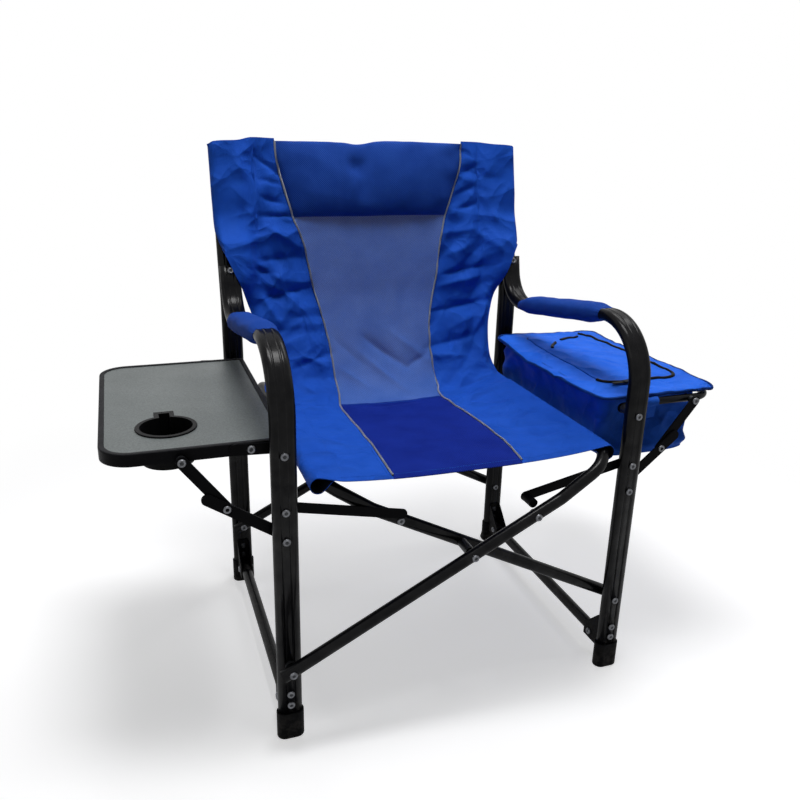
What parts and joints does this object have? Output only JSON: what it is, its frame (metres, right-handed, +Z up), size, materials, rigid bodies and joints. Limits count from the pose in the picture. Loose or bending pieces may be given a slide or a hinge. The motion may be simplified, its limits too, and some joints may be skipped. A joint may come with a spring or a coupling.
{
  "type": "folding camp chair",
  "caption": "Folding camp chair with a sling seat, padded arms, scissor legs, a hinged side table with a cup well and a hanging cooler bag.",
  "frame": {"origin": "on the floor, in the middle of the open chair's footprint box", "axes": "+X to the sitter's left seen from the front, +Y to the back of the chair, +Z up"},
  "size_m": [1.0164, 0.5891, 0.884],
  "materials": {
    "black_coated_steel": "textured satin powder coat",
    "black_plastic": "moulded, fine grain",
    "rivet_steel": "zinc plated",
    "blue_polyester": "plain weave polyester",
    "blue_mesh": "open mesh",
    "navy_mesh": "closed mesh",
    "pad_fabric": "padded polyester",
    "bag_fabric": "coated polyester",
    "grey_laminate": "matt grey laminate on fibreboard"
  },
  "bodies": {
    "side_left": {"arm_tube_left": "black_coated_steel", "rear_post_left": "black_coated_steel", "post_cap_left": "black_plastic", "foot_front_left": "black_plastic", "foot_rear_left": "black_plastic", "side_rail_left": "black_coated_steel", "rail_brackets_left": "black_coated_steel", "arm_pad_left": "pad_fabric", "frame_pins_left": "rivet_steel", "back_sleeve_left": "blue_polyester"},
    "side_right": {"arm_tube_right": "black_coated_steel", "rear_post_right": "black_coated_steel", "post_cap_right": "black_plastic", "foot_front_right": "black_plastic", "foot_rear_right": "black_plastic", "side_rail_right": "black_coated_steel", "rail_brackets_right": "black_coated_steel", "arm_pad_right": "pad_fabric", "frame_pins_right": "rivet_steel", "back_sleeve_right": "blue_polyester"},
    "scissor_a": {"scissor_a_tube": "black_coated_steel", "scissor_a_rivets": "rivet_steel", "crossing_pins": "rivet_steel"},
    "scissor_b": {"scissor_b_tube": "black_coated_steel", "scissor_b_rivets": "rivet_steel"},
    "links_left": {"seat_links_left": "black_coated_steel"},
    "links_right": {"seat_links_right": "black_coated_steel"},
    "seat_left": {"seat_side_left": "blue_polyester", "seat_insert_left": "navy_mesh"},
    "seat_right": {"seat_side_right": "blue_polyester", "seat_insert_right": "navy_mesh"},
    "back_left": {"back_side_left": "blue_polyester", "back_mesh_left": "blue_mesh", "headrest_left": "blue_polyester"},
    "back_right": {"back_side_right": "blue_polyester", "back_mesh_right": "blue_mesh", "headrest_right": "blue_polyester"},
    "table": {"table_panel": "grey_laminate", "table_rim": "black_plastic", "cup_holder": "black_plastic", "table_hinge_bars": "black_coated_steel", "table_pins": "rivet_steel"},
    "brace_low_left": {"brace_lower_left": "black_coated_steel"},
    "brace_up_left": {"brace_upper_left": "black_coated_steel"},
    "brace_low_right": {"brace_lower_right": "black_coated_steel"},
    "brace_up_right": {"brace_upper_right": "black_coated_steel"},
    "bag_frame": {"bag_frame": "black_coated_steel", "bag_pins": "rivet_steel", "bag_body": "bag_fabric", "bag_rim": "bag_fabric", "bag_tabs": "bag_fabric"},
    "bag_flap": {"bag_flap": "bag_fabric"},
    "zip_pull": {"zip_pull": "black_plastic"}
  },
  "joints": [
    {"name": "chair_fold", "type": "hinge", "parent": "side_left", "child": "scissor_a", "pos_m": [-0.26525, -0.01843, 0.138], "axis": [0, -1, 0], "range_deg": [0, 42.5], "deforming": ["seat_side_left", "seat_side_right", "seat_insert_left", "seat_insert_right", "back_mesh_left", "back_mesh_right", "back_side_left", "back_side_right", "headrest_left", "headrest_right", "back_sleeve_left", "back_sleeve_right"]},
    {"name": "crossing_pivot", "type": "hinge", "parent": "scissor_a", "child": "scissor_b", "pos_m": [0.02475, -0.01843, 0.288], "axis": [0, -1, 0], "range_deg": [-85.5, 0]},
    {"name": "right_leg_pivot", "type": "hinge", "parent": "scissor_b", "child": "side_right", "pos_m": [0.31475, -0.01843, 0.138], "axis": [0, -1, 0], "range_deg": [0, 43]},
    {"name": "seat_link_left_pivot", "type": "hinge", "parent": "side_left", "child": "links_left", "pos_m": [-0.26525, -0.01843, 0.397], "axis": [0, -1, 0], "range_deg": [0, 76.92]},
    {"name": "seat_link_right_pivot", "type": "hinge", "parent": "side_right", "child": "links_right", "pos_m": [0.31475, -0.01843, 0.397], "axis": [0, -1, 0], "range_deg": [-76.92, 0]},
    {"name": "seat_droop_right", "type": "hinge", "parent": "scissor_a", "child": "seat_right", "pos_m": [0.26475, -0.01843, 0.428], "axis": [0, -1, 0], "range_deg": [0, 27.93]},
    {"name": "seat_droop_left", "type": "hinge", "parent": "scissor_b", "child": "seat_left", "pos_m": [-0.21525, -0.01843, 0.428], "axis": [0, -1, 0], "range_deg": [-27.93, 0]},
    {"name": "back_fold_left", "type": "hinge", "parent": "side_left", "child": "back_left", "pos_m": [-0.26525, 0.25983, 0.78], "axis": [0, 0.2079, 0.9781], "range_deg": [0, 67.68]},
    {"name": "back_fold_right", "type": "hinge", "parent": "side_right", "child": "back_right", "pos_m": [0.31475, 0.25983, 0.78], "axis": [0, 0.2079, 0.9781], "range_deg": [-67.68, 0]},
    {"name": "table_fold", "type": "hinge", "parent": "side_left", "child": "table", "pos_m": [-0.26525, -0.01843, 0.484], "axis": [0, -1, 0], "range_deg": [0, 80]},
    {"name": "brace_lower_left_pivot", "type": "hinge", "parent": "side_left", "child": "brace_low_left", "pos_m": [-0.26525, -0.01843, 0.35], "axis": [0, -1, 0], "range_deg": [0, 122.21]},
    {"name": "brace_upper_left_pivot", "type": "hinge", "parent": "table", "child": "brace_up_left", "pos_m": [-0.40125, -0.01843, 0.48], "axis": [0, -1, 0], "range_deg": [-107.33, 0]},
    {"name": "bag_fold", "type": "hinge", "parent": "side_right", "child": "bag_frame", "pos_m": [0.31475, -0.01843, 0.484], "axis": [0, 1, 0], "range_deg": [0, 84], "deforming": ["bag_body", "bag_tabs", "bag_rim"]},
    {"name": "brace_lower_right_pivot", "type": "hinge", "parent": "side_right", "child": "brace_low_right", "pos_m": [0.31475, -0.01843, 0.35], "axis": [0, 1, 0], "range_deg": [0, 129.27]},
    {"name": "brace_upper_right_pivot", "type": "hinge", "parent": "bag_frame", "child": "brace_up_right", "pos_m": [0.44675, -0.01843, 0.49], "axis": [0, 1, 0], "range_deg": [-111.68, 0]},
    {"name": "bag_flap_hinge", "type": "hinge", "parent": "bag_frame", "child": "bag_flap", "pos_m": [0.32275, -0.01843, 0.5076], "axis": [0, -1, 0], "range_deg": [0, 62]},
    {"name": "zip_slide", "type": "slide", "parent": "bag_frame", "child": "zip_pull", "axis": [1, 0, 0], "range_m": [0, 0.11]}
  ],
  "couplings": [
    {"joint": "crossing_pivot", "follows": "chair_fold", "ratio": -2},
    {"joint": "right_leg_pivot", "follows": "chair_fold", "ratio": 1},
    {"joint": "seat_link_left_pivot", "follows": "chair_fold", "ratio": 1.7981},
    {"joint": "seat_link_right_pivot", "follows": "chair_fold", "ratio": -1.7981},
    {"joint": "seat_droop_right", "follows": "chair_fold", "ratio": 0.64539},
    {"joint": "seat_droop_left", "follows": "chair_fold", "ratio": -0.64539},
    {"joint": "back_fold_left", "follows": "chair_fold", "ratio": 1.5807},
    {"joint": "back_fold_right", "follows": "chair_fold", "ratio": -1.5807},
    {"joint": "brace_lower_left_pivot", "follows": "table_fold", "ratio": 1.5214},
    {"joint": "brace_upper_left_pivot", "follows": "table_fold", "ratio": -1.3353},
    {"joint": "brace_lower_right_pivot", "follows": "bag_fold", "ratio": 1.5329},
    {"joint": "brace_upper_right_pivot", "follows": "bag_fold", "ratio": -1.3236}
  ]
}
